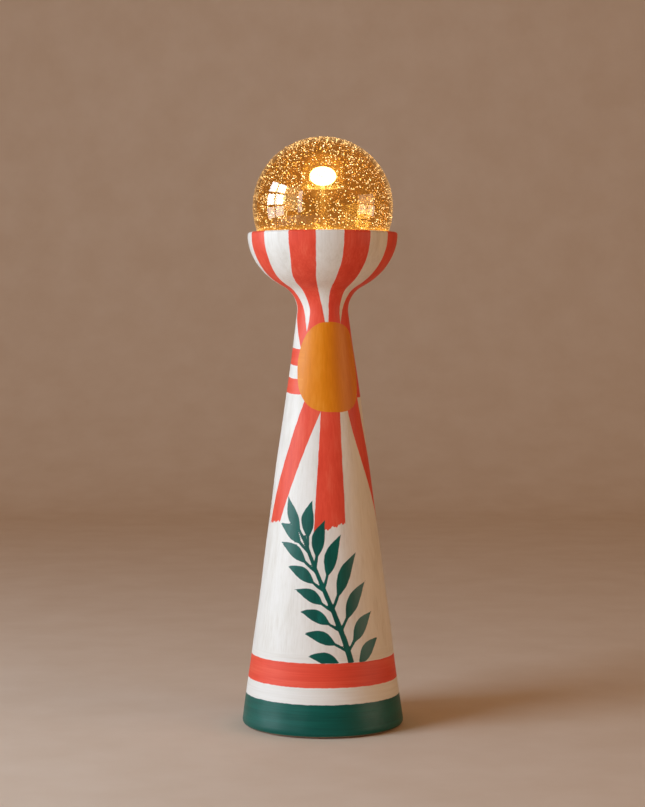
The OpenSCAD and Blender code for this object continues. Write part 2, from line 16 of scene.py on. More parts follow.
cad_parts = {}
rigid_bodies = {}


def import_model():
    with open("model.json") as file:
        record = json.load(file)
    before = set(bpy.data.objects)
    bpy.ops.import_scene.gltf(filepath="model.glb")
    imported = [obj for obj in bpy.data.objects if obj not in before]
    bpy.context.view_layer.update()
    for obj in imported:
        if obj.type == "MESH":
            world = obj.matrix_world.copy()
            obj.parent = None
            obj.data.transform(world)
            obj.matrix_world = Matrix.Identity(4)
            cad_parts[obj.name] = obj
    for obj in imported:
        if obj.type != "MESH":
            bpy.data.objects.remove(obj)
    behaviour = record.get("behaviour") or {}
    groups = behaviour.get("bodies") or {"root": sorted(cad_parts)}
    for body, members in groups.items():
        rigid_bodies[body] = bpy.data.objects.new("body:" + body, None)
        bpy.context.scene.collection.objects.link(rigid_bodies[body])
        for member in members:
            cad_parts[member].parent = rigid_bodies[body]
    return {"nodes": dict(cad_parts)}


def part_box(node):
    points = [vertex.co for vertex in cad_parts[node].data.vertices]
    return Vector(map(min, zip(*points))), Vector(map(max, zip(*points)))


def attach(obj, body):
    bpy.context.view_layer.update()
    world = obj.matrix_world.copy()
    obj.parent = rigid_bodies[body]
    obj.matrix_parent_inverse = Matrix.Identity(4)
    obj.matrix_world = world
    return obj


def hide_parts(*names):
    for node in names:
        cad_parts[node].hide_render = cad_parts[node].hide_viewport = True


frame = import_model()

scene = bpy.context.scene
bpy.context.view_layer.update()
MM = 0.001

# %% [markdown]
# Colours are written as sRGB hex, the way a paint chart gives them, and turned to linear light once. One small
# function adds a shader node with its settings and links, so each material reads as a short list of steps.

# %% Colours and nodes
def paint(hex_code, alpha=1.0):
    """A hex colour as linear RGBA: each channel is undone from the sRGB curve."""
    channels = [int(hex_code[i:i + 2], 16) / 255 for i in (1, 3, 5)]
    linear = [c / 12.92 if c <= 0.04045 else ((c + 0.055) / 1.055) ** 2.4 for c in channels]
    return (*linear, alpha)


def new_material(name):
    """An empty node material, its node tree, and its shader."""
    material = bpy.data.materials.new(name)
    material.use_nodes = True
    tree = material.node_tree
    return material, tree, tree.nodes["Principled BSDF"]


def add(tree, kind, links=None, **settings):
    """Adds one node. Settings are its properties, or its inputs when named i_NUMBER or i_NAME.
    links maps an input's name or number to the socket that feeds it."""
    node = tree.nodes.new(kind)
    for key, value in settings.items():
        if key.startswith("i_"):
            socket = key[2:]
            node.inputs[int(socket) if socket.isdigit() else socket.replace("_", " ")].default_value = value
        else:
            setattr(node, key, value)
    for target, source in (links or {}).items():
        tree.links.new(source, node.inputs[target])
    return node


def ramp(tree, source, *stops):
    """A colour ramp on source, with (position, colour) stops."""
    node = add(tree, "ShaderNodeValToRGB", {"Fac": source})
    while len(node.color_ramp.elements) < len(stops):
        node.color_ramp.elements.new(0.5)
    for element, (position, colour) in zip(node.color_ramp.elements, stops):
        element.position = position
        element.color = colour if not isinstance(colour, (int, float)) else (colour, colour, colour, 1)
    return node.outputs["Color"]


def noise(tree, size_mm, stretch=(1, 1, 1), detail=3.0, roughness=0.55):
    """Noise on Object coordinates whose features are about size_mm across, times stretch along each axis."""
    place = add(tree, "ShaderNodeTexCoord").outputs["Object"]
    scale = [1 / (size_mm * MM * s) for s in stretch]
    place = add(tree, "ShaderNodeVectorMath", {0: place}, operation="MULTIPLY", i_1=scale).outputs[0]
    made = add(tree, "ShaderNodeTexNoise", {"Vector": place}, i_Scale=1.0, i_Detail=detail, i_Roughness=roughness)
    return made.outputs["Fac"]


def mix(tree, factor, a, b, blend="MIX"):
    """Mixes two colours. factor, a and b may each be a socket or a plain value."""
    node = add(tree, "ShaderNodeMix", data_type="RGBA", blend_type=blend)
    for index, value in ((0, factor), (6, a), (7, b)):
        if isinstance(value, bpy.types.NodeSocket):
            tree.links.new(value, node.inputs[index])
        else:
            node.inputs[index].default_value = value
    return node.outputs[2]


def maths(tree, operation, *values, clamp=False):
    """One Math node. Each value may be a socket or a number."""
    node = add(tree, "ShaderNodeMath", operation=operation, use_clamp=clamp)
    for index, value in enumerate(values):
        if isinstance(value, bpy.types.NodeSocket):
            tree.links.new(value, node.inputs[index])
        else:
            node.inputs[index].default_value = value
    return node.outputs[0]


def bump(tree, height, depth_mm, strength=1.0, normal=None):
    """A Bump node whose full height is depth_mm."""
    links = {"Height": height}
    if normal is not None:
        links["Normal"] = normal
    return add(tree, "ShaderNodeBump", links, i_Strength=strength, i_Distance=depth_mm * MM).outputs[0]


# %% [markdown]
# New pieces are grids of points worked out by numpy. A turned piece is one closed outline swept round the Z axis,
# so the grid wraps both ways and the mesh has no hole and no pole.

# %% Grids into meshes
def mesh_piece(name, points, *face_sets, smooth=True):
    """Puts points (n, 3) in metres and faces, in arrays (m, 3) or (m, 4), into a new object at the origin."""
    mesh = bpy.data.meshes.new(name)
    corners = np.concatenate([f.ravel() for f in face_sets]).astype(np.int32)
    sides = np.concatenate([np.full(len(f), f.shape[1]) for f in face_sets])
    mesh.vertices.add(len(points))
    mesh.vertices.foreach_set("co", np.ascontiguousarray(points, dtype=np.float32).ravel())
    mesh.loops.add(len(corners))
    mesh.loops.foreach_set("vertex_index", corners)
    mesh.polygons.add(len(sides))
    mesh.polygons.foreach_set("loop_start", (np.cumsum(sides) - sides).astype(np.int32))
    mesh.polygons.foreach_set("use_smooth", np.full(len(sides), smooth))
    mesh.update(calc_edges=True)
    mesh.validate()
    piece = bpy.data.objects.new(name, mesh)
    scene.collection.objects.link(piece)
    return piece


def grid_faces(rows, columns, wrap_rows=True):
    """Quads of a grid that closes on itself along its columns, and along its rows too if wrap_rows. They face
    outwards where the rows run counter-clockwise round the outline."""
    i, j = np.meshgrid(np.arange(rows if wrap_rows else rows - 1), np.arange(columns), indexing="ij")
    up, across = (i + 1) % rows, (j + 1) % columns
    quads = np.stack([i * columns + j, i * columns + across, up * columns + across, up * columns + j], -1)
    return quads.reshape(-1, 4)


def turned(outline, angles):
    """Sweeps an outline (n, 2) of radius and height round Z: x = r sin(a), y = -r cos(a), z = h."""
    r, h = outline[:, 0, None], outline[:, 1, None]
    a = np.asarray(angles)[None, :]
    return np.stack([r * np.sin(a), -r * np.cos(a), h + 0 * a], -1)


def turned_solid(name, outline, columns, smooth=True):
    """A solid whose outline starts and ends on the axis: rings swept round Z, and a fan of triangles at each end."""
    count = len(outline) - 2
    rings = turned(outline[1:-1], np.arange(columns) / columns * 2 * np.pi).reshape(-1, 3)
    ends = [[0, 0, outline[0, 1]], [0, 0, outline[-1, 1]]]
    j = np.arange(columns)
    across = (j + 1) % columns
    first, last = np.full(columns, count * columns), np.full(columns, count * columns + 1)
    top = (count - 1) * columns
    fans = np.concatenate([np.stack([first, across, j], -1), np.stack([last, top + j, top + across], -1)])
    return mesh_piece(name, np.concatenate([rings, ends]) * MM, grid_faces(count, columns, False), fans, smooth=smooth)


def arc(centre, radius, start, end, steps):
    """Points of an arc about centre, angles in degrees."""
    a = np.radians(np.linspace(start, end, steps))
    return np.stack([centre[0] + radius * np.cos(a), centre[1] + radius * np.sin(a)], -1)


def smoothstep(low, high, value):
    """0 below low, 1 above high, and a smooth S between."""
    t = np.clip((value - low) / (high - low), 0, 1)
    return t * t * (3 - 2 * t)


def set_numbers(piece, name, values):
    """Stores one number for each vertex as a named attribute."""
    layer = piece.data.attributes.new(name, "FLOAT", "POINT")
    layer.data.foreach_set("value", np.ascontiguousarray(values, dtype=np.float32))


# %% [markdown]
# ## The camera
# A long lens from about 1.4 m, a little above the lamp's neck and tipped slightly down, flattens the cone the way a
# portrait lens does. It is set up first, so that every later step can be looked at.

# %% Camera
camera_data = bpy.data.cameras.new("camera")
camera_data.sensor_fit = "VERTICAL"
camera_data.sensor_height = 36
camera_data.lens = 89.2
camera = bpy.data.objects.new("camera", camera_data)
camera.location = (-0.00025, -1.428, 0.290)
camera.rotation_euler = (math.radians(90 - 2.40), 0, 0)
scene.collection.objects.link(camera)
scene.camera = camera

# %% [markdown]
# ## The clay body's outline
# The body is thrown as one piece: a straight cone, a hollow curve at the neck, and a bowl. In outline these are a
# line, an arc that touches it, and a quarter ellipse that touches the arc. The numbers are the CAD's, in mm, and the
# heights come from the CAD parts' own boxes.

# %% Outline
RIM_Z, FOOT_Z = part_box("clay_cup")[1][2] / MM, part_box("clay_body")[0][2] / MM
BASE_R, NECK_R, RIM_R, BOWL_H, LIP_R = 57.75, 18.2, 53.5, 43.0, 1.8
CUP_R, CUP_H, CUP_DEPTH = 49.0, 39.0, 36.0
bowl_z = RIM_Z - LIP_R
lean_in = math.radians(63)
join_t = math.atan(BOWL_H / RIM_R * math.tan(lean_in))
join = np.array([RIM_R * math.cos(join_t), bowl_z - BOWL_H * math.sin(join_t)])
neck_arc = (join[0] - NECK_R) / (1 - math.cos(lean_in))
waist_z = join[1] - neck_arc * math.sin(lean_in)
arc_mid = np.array([NECK_R + neck_arc, waist_z])
LEAN = math.atan2(BASE_R - arc_mid[0], arc_mid[1]) + math.asin(neck_arc / math.hypot(arc_mid[0] - BASE_R, arc_mid[1]))
lean_deg = math.degrees(LEAN)


def cone_r(z):
    """The cone's radius at height z."""
    return BASE_R - z * math.tan(LEAN)


def ellipse(a, b, z, start, end, steps):
    """Points of the ellipse x = a cos t, height = z - b sin t, t in degrees."""
    t = np.radians(np.linspace(start, end, steps))
    return np.stack([a * np.cos(t), z - b * np.sin(t)], -1)


def evenly(points, spacing):
    """The same path with its points about spacing apart along it, both ends kept."""
    length = np.concatenate([[0], np.cumsum(np.hypot(*np.diff(points, axis=0).T))])
    count = max(2, int(round(length[-1] / spacing)) + 1)
    at = np.linspace(0, length[-1], count)
    return np.stack([np.interp(at, length, points[:, k]) for k in (0, 1)], -1)


floor_t = math.degrees(math.asin((CUP_DEPTH - LIP_R) / CUP_H))
outside = np.concatenate([
    arc((cone_r(FOOT_Z) - 3, FOOT_Z + 3), 3, -90, lean_deg, 7),
    arc(arc_mid, neck_arc, 180 + lean_deg, 180 - 63, 40),
    ellipse(RIM_R, BOWL_H, bowl_z, math.degrees(join_t) - 1.5, 0, 60),
])
lip = np.concatenate([
    arc((RIM_R - LIP_R, bowl_z), LIP_R, 8, 90, 7),
    arc((CUP_R + LIP_R, bowl_z), LIP_R, 90, 172, 7),
])
inside = np.concatenate([
    evenly(ellipse(CUP_R, CUP_H, bowl_z, 0, floor_t, 40), 3.0),
    evenly(np.array([[23.4, RIM_Z - CUP_DEPTH], [6.5, RIM_Z - CUP_DEPTH], [6.5, RIM_Z - 46], [11.9, RIM_Z - 46],
                     [11.9, waist_z], [cone_r(16) - 6.05, 16], [45.8, 9], [45.8, 4], [50.6, 4],
                     [50.6, FOOT_Z]]), 9.0),
])
outside = evenly(outside, 1.28)
outline = np.concatenate([outside, lip, inside])
print("outline points:", len(outline), " lean of the cone in degrees:", round(lean_deg, 2))

# %% [markdown]
# ## Paper coordinates
# A cone unrolls flat without stretching, so the ornament is designed on paper and wrapped on. A point at height z
# and angle a round the cone lies, on paper, at distance R from the cone's tip and at angle a times the sine of the
# lean. The paper's X runs to the right of the front line, and its Y up from the foot along the clay.

# %% Unrolling the cone
TIP_Z = BASE_R / math.tan(LEAN)


def on_paper(angle, z):
    """Paper X and Y in mm of points on the cone, angle in radians to the right of the front line."""
    reach = (TIP_Z - z) / math.cos(LEAN)
    turn = angle * math.sin(LEAN)
    return reach * np.sin(turn), TIP_Z / math.cos(LEAN) - reach * np.cos(turn)


def edge_distance(function, x, y, step=0.25):
    """Signed distance in mm to the line where a function is zero: its value over the length of its slope."""
    here = function(x, y)
    slope = np.hypot(function(x + step, y) - here, function(x, y + step) - here) / step
    return here / np.maximum(slope, 1e-6)


def band(value, low, high):
    """Distance inside the strip low < value < high, negative outside it."""
    return np.minimum(value - low, high - value)


# %% [markdown]
# ## The painted ornament
# Stripes run down the bowl and pinch together at the neck, an orange disc covers the knot, ribbons hang below it, a
# green sprig grows up from the foot, and three rings close the design. Every motif is a function of the paper point
# whose value is how far the point lies inside the motif, in mm. The shader then draws its edge wherever that number
# crosses zero, so the edge is much sharper than the grid.

# %% Stripes of the bowl and the neck
WEDGES = [
    # middle at the rim, half-width, sway at the bowl's foot, drift at the waist, height it closes at; degrees and mm
    (-80.0, 10.9, -14.0, -4.0, 290), (-38.1, 12.0, -10.0, 3.5, 280), (5.4, 10.9, -2.8, 3.0, 278),
    (48.0, 10.2, 0.8, -9.0, 286), (90.6, 10.6, 6.0, -3.0, 290), (138.2, 11.0, 2.0, 0.0, 284),
    (185.5, 11.0, 0.0, 0.0, 284), (232.7, 11.0, -2.0, 0.0, 284),
]
LOWER_WEDGES = [(-95, 19), (-140, 12), (180, 14), (140, 13), (108, 9)]


def stripes(angle, z, r):
    """Distance in mm inside the coral of the bowl and the neck. White wedges come down between the stripes from the
    rim, sway a little as a hand would, and close at the waist. Wider ones open between them again below it."""
    degrees = np.degrees(angle)
    foot = np.exp(-((z - 311) / np.where(z > 311, 14, 12)) ** 2)
    waist = 1 - smoothstep(284, 308, z)
    white = np.full_like(z, -99.0)
    for rim_middle, widest, sway, drift, close in WEDGES:
        middle = rim_middle + sway * foot + drift * waist
        half = widest * smoothstep(close, 310 if widest > 11.5 else 318, z) ** 0.6 - 0.3
        away = (degrees - middle + 180) % 360 - 180
        white = np.maximum(white, np.radians(half - np.abs(away)) * r)
    for middle, most in LOWER_WEDGES:
        away = (degrees - middle + 180) % 360 - 180
        opened = most * (np.maximum(298 - z, 0) / 8) ** 0.75 - 0.6
        white = np.maximum(white, np.radians(opened - np.abs(away)) * r * 0.8)
    return -white


# %% Disc, ribbons and rings
def oval(x, y):
    """Inside a rounded disc |x/a|^n + |y/b|^n = 1 that is squarer at its lower right than at its upper left."""
    u, v = (x - 5.3) / 25.8, (y - 259.2) / 31.9
    n = 2.5 + 0.38 * np.tanh(u * 2) - 0.16 * np.tanh(v * 2)
    return 1 - (np.abs(u) ** n + np.abs(v) ** n) ** (1 / n)


def ribbons(x, y):
    """Inside one of the three ribbons that hang below the disc: a straight one to the left, one that widens
    downwards in the middle, and one that curves away to the right. Each has a slanting cut end."""
    drop = 228 - y
    ragged = 0.7 * np.sin(x * 1.15) + 0.45 * np.sin(x * 2.9 + 1.0)
    left = band((x + 9.0 + 0.43 * drop) * 0.92, -7.0, 7.0)
    left = np.minimum(left, y - 151.5 - ragged * 0.8)
    middle = band(x, -1.4 - 0.058 * drop, 12.3 + 0.05 * drop)
    middle = np.minimum(middle, (y - 141.5 - 0.38 * (x + 6) - ragged) * 0.93)
    curve = 18.9 + 0.25 * drop + 0.0039 * drop ** 2
    right = band(x, curve, curve + 14.5 + 0.09 * drop) * 0.85
    right = np.minimum(right, y - 143 - ragged)
    return np.minimum(np.maximum.reduce([left, middle, right]), 252 - y)


def bands_behind(angle, z, r):
    """Inside the two rings that run round the back of the disc, and the patch that joins them on its right."""
    degrees = np.degrees(angle)
    dip = 1.2 * smoothstep(-90, -45, degrees) * (degrees < 0)
    rings = np.maximum(band(z + dip, 258.6, 270.3), band(z + dip, 238.6, 249.4))
    rings = np.minimum(rings, np.maximum(np.radians(-20 - degrees), np.radians(degrees - 75)) * r)
    patch = np.minimum(band(z, 235, 284), np.radians(17 - np.abs(degrees - 83)) * r)
    return np.maximum(rings, patch)


# %% [markdown]
# The sprig is drawn the way a sign painter would: one slow S for the stem, then leaves laid in pairs, each a single
# loaded stroke. On paper a leaf is a stalk and a blade on a slightly bent middle line. Its half-width grows and
# shrinks as a sine of the way along, raised to a power that draws the tip out to a point.

# %% The sprig
def stem_x(y):
    """Paper X of the stem's middle line at paper Y: a line with a slow cubic bend."""
    t = y - 98
    return 3.0 - 0.43 * t + 2.6e-5 * t ** 3


def leaf(x, y, foot, direction, length, width, bend, stalk, pull=0.86):
    """Inside one leaf. direction is in degrees from paper X, bend in mm bows the middle line to its left, and stalk
    is the part of the length before the blade starts."""
    c, s = math.cos(math.radians(direction)), math.sin(math.radians(direction))
    dx, dy = x - foot[0], y - foot[1]
    along, side = (dx * c + dy * s) / length, -dx * s + dy * c
    t = np.clip(along, 0, 1)
    side = side - bend * np.sin(np.pi * t) + 0.35 * bend * np.sin(2 * np.pi * t)
    blade = np.clip((t - stalk) / (1 - stalk), 0, 1)
    half = width / 2 * np.sin(np.pi * blade ** pull) ** 1.22
    thin = 1.05 * (1 - smoothstep(stalk + 0.02, stalk + 0.35, t)) * (1 - 0.25 * t)
    return np.minimum(np.maximum(half, thin) - np.abs(side), np.minimum(along, 1 - along) * length + 0.4)


LEFT_LEAVES = [(47.3 + 13.6 * k, 163 - 4.1 * k, (34.5, 34, 33, 31.6, 33.6, 36, 32.6)[k]) for k in range(7)]
RIGHT_LEAVES = [(46.0 + 14.4 * k, 48 + 6.0 * k, 33.2 + 11.5 * math.exp(-((k - 3) / 1.5) ** 2)) for k in range(7)]


def sprig(x, y):
    """Inside the stem or any of its leaves."""
    taper = 2.1 - 0.9 * smoothstep(50, 140, y)
    inside_stem = np.minimum(taper - np.abs(x - stem_x(y)) * 0.94, 141 - y)
    parts = [inside_stem]
    for foot_y, direction, length in LEFT_LEAVES:
        foot = (stem_x(foot_y), foot_y)
        parts.append(leaf(x, y, foot, direction, length, 8.3, -1.9, 0.26))
    for foot_y, direction, length in RIGHT_LEAVES:
        foot = (stem_x(foot_y), foot_y)
        parts.append(leaf(x, y, foot, direction, length, 9.2, 1.9, 0.20))
    parts.append(leaf(x, y, (stem_x(133), 133), 113, 39.5, 8.2, 1.6, 0.30))
    return np.maximum.reduce(parts)


# %% All the ornament at once
def ornament(points):
    """For points (n, 3) in mm on the clay, the distances inside coral, orange and green, and how much the brush ran
    round the lamp rather than up it."""
    x, y, z = points.T
    r = np.hypot(x, y)
    angle = np.arctan2(x, -y)
    px, py = on_paper(angle, z)
    upper = np.where(z > 270.2, stripes(angle, z, r), -99.0)
    front = np.abs(angle) < math.radians(130)
    hanging = np.where(front & (z < 262), edge_distance(ribbons, px, py), -99.0)
    ring = band(z, 35.0, 51.8)
    coral = np.maximum.reduce([upper, hanging, bands_behind(angle, z, r), ring])
    orange = np.where(front, edge_distance(oval, px, py), -99.0)
    leaves = np.minimum(np.where(np.abs(angle) < math.radians(70), sprig(px, py), -99.0), z - 51.8)
    green = np.maximum(leaves, 23.5 - z)
    across = np.clip((60 - z) / 4, 0, 1) + np.clip(bands_behind(angle, z, r) + 1, 0, 1) * (np.abs(angle) > 0.6)
    return coral, orange, green, np.clip(across, 0, 1)


# %% [markdown]
# ## The clay itself
# The grid is finer at the front, where the sprig's leaves need it. A thrown and hand-smoothed wall is never exactly
# round, so three slow waves move the outside by a few tenths of a millimetre. Rims, fittings and the foot keep their
# true size, because other parts seat on them.

# %% Shaping the body
def front_loaded(count, share):
    """Angles round the lamp, in radians from -pi, packed closer at the front: density is 1 + share * cos(a)."""
    a = np.linspace(-np.pi, np.pi, 4001)
    filled = a + np.pi + share * np.sin(a)
    return np.interp(np.arange(count) / count * 2 * np.pi, filled, a)


columns = front_loaded(272, 0.42)
body_points = turned(outline, columns)
rows = len(outline)
is_outside = np.zeros(rows, bool)
is_outside[:len(outside)] = True
height = outline[:, 1][:, None]
a = columns[None, :]
wave = (0.22 * np.sin(2 * a + height / 41) + 0.16 * np.sin(3 * a - height / 23 + 1.3)
        + 0.10 * np.sin(5 * a + height / 13 + 0.4) + 0.10 * np.sin(height / 9.0 + 2 * np.cos(a)))
calm = smoothstep(3, 14, height) * (1 - smoothstep(RIM_Z - 12, RIM_Z - 1, height))
calm = calm * (1 - np.exp(-((np.abs(np.abs(a) - np.pi) / 0.35) ** 2)) * (height < 80))
push = wave * calm * is_outside[:, None] * 0.9
normal_r, normal_z = math.cos(LEAN), math.sin(LEAN)
body_points[..., 0] += push * np.sin(a) * normal_r
body_points[..., 1] -= push * np.cos(a) * normal_r
body_points[..., 2] += push * normal_z
clay = mesh_piece("painted_clay_body", body_points.reshape(-1, 3) * MM, grid_faces(rows, len(columns)))
print("clay body:", rows, "x", len(columns), "points")

# %% [markdown]
# Two fittings pass through the back of the wall. One stepped cutter for each, turned like a cotton reel, sinks a
# flat for the bezel, bores the wall and faces the inside for the nut. The cut is a Boolean, made permanent, and the
# paint is worked out afterwards on whatever points the cut mesh has.

# %% Boring the back wall
def on_wall(z):
    """The matrix that stands local +Z square to the cone's back at height z, in metres."""
    place = Matrix.Translation((0, cone_r(z) * MM, z * MM))
    return place @ Matrix.Rotation(LEAN - math.pi / 2, 4, "X")


FITTINGS = {"charging": 27.0, "switch": 56.0}
flat_depth = cone_r(56) - math.sqrt(cone_r(56) ** 2 - 10.5 ** 2) + 0.2
cutters = []
for label, z in FITTINGS.items():
    reel = np.array([[0.02, -30], [11.5, -30], [11.5, -5.8], [8.2, -5.8], [8.2, -flat_depth], [10.5, -flat_depth],
                     [10.5, 12], [0.02, 12]])
    spun = turned(reel, np.arange(64) / 64 * 2 * np.pi).reshape(-1, 3) * MM
    cutter = mesh_piece("cutter_" + label, spun, grid_faces(len(reel), 64), smooth=False)
    cutter.data.transform(on_wall(z))
    cut = clay.modifiers.new("bore_" + label, "BOOLEAN")
    cut.operation, cut.solver, cut.object = "DIFFERENCE", "EXACT", cutter
    cutters.append(cutter)
bored = bpy.data.meshes.new_from_object(clay.evaluated_get(bpy.context.evaluated_depsgraph_get()))
clay.modifiers.clear()
clay.data = bored
for cutter in cutters:
    bpy.data.objects.remove(cutter)
clay.data.set_sharp_from_angle(angle=math.radians(40))
points_mm = np.empty(len(bored.vertices) * 3, np.float32)
bored.vertices.foreach_get("co", points_mm)
points_mm = points_mm.reshape(-1, 3).astype(float) / MM
print("after boring:", len(bored.vertices), "points,", len(bored.polygons), "faces")

# %% Painting the points
coral, orange, green, across = ornament(points_mm)
radius_mm = np.hypot(points_mm[:, 0], points_mm[:, 1])
cup_wall_r = CUP_R * np.sqrt(np.clip(1 - ((bowl_z - points_mm[:, 2]) / CUP_H) ** 2, 0, 1))
in_cup = (points_mm[:, 2] > RIM_Z - CUP_DEPTH - 1) & (radius_mm < cup_wall_r + 1.9)
hidden = in_cup | (radius_mm < cone_r(points_mm[:, 2]) - 2.5) & (points_mm[:, 2] < waist_z - 8)
bare = ((points_mm[:, 2] < FOOT_Z + 0.6) | hidden & (points_mm[:, 2] < RIM_Z - CUP_DEPTH - 1)).astype(float)
for name, values in (("coral", coral), ("orange", orange), ("green", green)):
    values = np.where(in_cup, -4.0, values)
    set_numbers(clay, name, np.clip(values, -4, 4))
set_numbers(clay, "across", across)
set_numbers(clay, "bare", bare)

# %% [markdown]
# ## Hand-brushed matt paint on clay
# Artist's acrylic on a white ground dries to a low satin. Each stroke leaves fine ridges along its length and is a
# little thinner in places, so its colour drifts between two close shades. Edges wander by a few tenths of a
# millimetre, and paint stands proud of the ground by about a tenth.

# %% Paint material
clay_paint, tree, shader = new_material("hand_brushed_acrylic_on_clay")


def number(name):
    """The attribute of that name as a socket."""
    return add(tree, "ShaderNodeAttribute", attribute_type="GEOMETRY", attribute_name=name).outputs["Fac"]


wander = maths(tree, "MULTIPLY", maths(tree, "SUBTRACT", noise(tree, 5.0, detail=4.0), 0.5), 0.9)


def inside_of(name, softness=0.16):
    """1 where the wandering edge of a motif has been passed, 0 outside, softened over a tenth of a millimetre."""
    moved = maths(tree, "ADD", number(name), wander)
    return maths(tree, "DIVIDE", maths(tree, "ADD", moved, softness), 2 * softness, clamp=True)


upright = noise(tree, 1.3, stretch=(1, 1, 26), detail=4.0)
level = noise(tree, 1.1, stretch=(40, 40, 1), detail=4.0)
streaks = mix(tree, number("across"), upright, level)
broad = mix(tree, number("across"), noise(tree, 7.0, stretch=(1, 1, 9), detail=2.0),
            noise(tree, 5.5, stretch=(14, 14, 1), detail=2.0))
drift = mix(tree, 0.55, streaks, broad)
white_ground = ramp(tree, drift, (0.3, paint("#E3DCD0")), (0.5, paint("#EFEAE1")), (0.7, paint("#F6F2EB")))
coral_coat = ramp(tree, drift, (0.28, paint("#E4452F")), (0.5, paint("#F0533B")), (0.72, paint("#F76B50")))
orange_coat = ramp(tree, drift, (0.28, paint("#DF7F0A")), (0.5, paint("#EA8A14")), (0.72, paint("#F29A30")))
green_coat = ramp(tree, drift, (0.28, paint("#064A41")), (0.5, paint("#08584D")), (0.72, paint("#0E695D")))
in_coral, in_orange, in_green = inside_of("coral"), inside_of("orange"), inside_of("green")
coat = mix(tree, in_coral, white_ground, coral_coat)
coat = mix(tree, in_orange, coat, orange_coat)
coat = mix(tree, in_green, coat, green_coat)
raw_clay = ramp(tree, noise(tree, 3.0, detail=5.0), (0.35, paint("#B08263")), (0.65, paint("#C79A7A")))
coat = mix(tree, number("bare"), coat, raw_clay)
tree.links.new(coat, shader.inputs["Base Color"])
painted = maths(tree, "MAXIMUM", in_coral, maths(tree, "MAXIMUM", in_orange, in_green))
gloss = mix(tree, in_green, (0.50, 0.50, 0.50, 1), (0.36, 0.36, 0.36, 1))
gloss = mix(tree, 0.16, gloss, streaks)
tree.links.new(gloss, shader.inputs["Roughness"])
shader.inputs["Specular IOR Level"].default_value = 0.22
step_up = bump(tree, painted, 0.10, 0.6)
ridges = bump(tree, streaks, 0.10, 0.55, step_up)
hand_marks = bump(tree, noise(tree, 9.0, detail=3.0), 0.35, 0.5, ridges)
tree.links.new(hand_marks, shader.inputs["Normal"])
clay.data.materials.clear()
clay.data.materials.append(clay_paint)
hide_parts("clay_body", "clay_cup")
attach(clay, "lamp")
print("paint nodes:", len(tree.nodes))

# %% [markdown]
# ## The globe
# A blown globe of honey-amber glass, 3 mm thick, with a short neck that stands on the gasket. Its outline is two
# arcs, outer and inner, joined by the neck and its lip, swept round Z.

# %% Blowing the globe
globe_low, globe_high = [np.array(c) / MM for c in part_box("glass_globe")]
GLOBE_R = (globe_high[0] - globe_low[0]) / 2
GLOBE_Z = globe_high[2] - GLOBE_R
MOUTH_R, GLASS_T, MOUTH_Z = 23.0, 3.0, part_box("globe_neck")[0][2] / MM
inner_r = GLOBE_R - GLASS_T
outer_end = math.degrees(math.acos(MOUTH_R / GLOBE_R))
inner_end = math.degrees(math.acos((MOUTH_R - GLASS_T) / inner_r))
globe_outline = np.concatenate([
    arc((0, GLOBE_Z), inner_r, 90, -inner_end, 90),
    [[MOUTH_R - GLASS_T, MOUTH_Z + 0.6], [MOUTH_R - GLASS_T + 0.6, MOUTH_Z]],
    arc((MOUTH_R, MOUTH_Z + 1.0), 1.0, -90, 0, 5),
    arc((MOUTH_R, MOUTH_Z + 2.0), 1.0, 0, 90, 5),
    arc((0, GLOBE_Z), GLOBE_R, -outer_end + 0.8, 90, 100),
])
globe = turned_solid("blown_glass_globe", globe_outline, 160)
globe.data.set_sharp_from_angle(angle=math.radians(50))
print("globe radius", round(GLOBE_R, 2), "centre height", round(GLOBE_Z, 2))

# %% [markdown]
# Amber glass is clear glass coloured right through, so light that crosses a wall comes out honey-coloured. The
# shader's own tint does that at each surface it passes. Light from the lamps also has to get in and out, and tracing
# every ray of it through curved walls is slow and noisy, so the glass lets a shadow ray straight through, tinted.
# The glass also carries a painted glow: emission of its own, strongest just above the neck, faint over the rest and
# golden at the silhouette. It stands in for the LED's light held and scattered in the glass.

# %% Glass material
amber, tree, shader = new_material("honey_amber_glass_with_painted_glow")
shader.inputs["Transmission Weight"].default_value = 1.0
shader.inputs["Roughness"].default_value = 0.0
shader.inputs["IOR"].default_value = 1.5
shader.inputs["Specular IOR Level"].default_value = 0.8
# Painted glow: the glass emits light of its own, strongest just above the neck and at the silhouette.
shader.inputs["Emission Color"].default_value = paint("#FFBE55")
place = add(tree, "ShaderNodeTexCoord").outputs["Object"]
up = add(tree, "ShaderNodeSeparateXYZ", {"Vector": place}).outputs["Z"]
over_rim = maths(tree, "DIVIDE", maths(tree, "SUBTRACT", up, (GLOBE_Z - 20) * MM), 20 * MM, clamp=True)
painted_glow_above_neck = ramp(tree, over_rim, (0.0, 0.26), (0.30, 0.055), (1.0, 0.03))
edge = add(tree, "ShaderNodeLayerWeight", i_Blend=0.5).outputs["Facing"]
painted_glow_at_silhouette = ramp(tree, edge, (0.70, 0.0), (0.97, 0.16))
tree.links.new(maths(tree, "ADD", painted_glow_above_neck, painted_glow_at_silhouette), shader.inputs["Emission Strength"])
depth_tint = ramp(tree, edge, (0.45, paint("#E6C07C")), (0.95, paint("#C98F45")))
tree.links.new(depth_tint, shader.inputs["Base Color"])
amber.cycles.emission_sampling = "NONE"
let_through = add(tree, "ShaderNodeBsdfTransparent", i_Color=paint("#EBCB92"))
is_shadow = add(tree, "ShaderNodeLightPath").outputs["Is Shadow Ray"]
both = add(tree, "ShaderNodeMixShader", {0: is_shadow, 1: shader.outputs[0], 2: let_through.outputs[0]})
tree.links.new(both.outputs[0], tree.nodes["Material Output"].inputs["Surface"])
tree.links.new(bump(tree, noise(tree, 14.0, detail=2.0), 0.10, 0.35), shader.inputs["Normal"])
globe.data.materials.append(amber)
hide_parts("glass_globe", "globe_neck")
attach(globe, "globe")

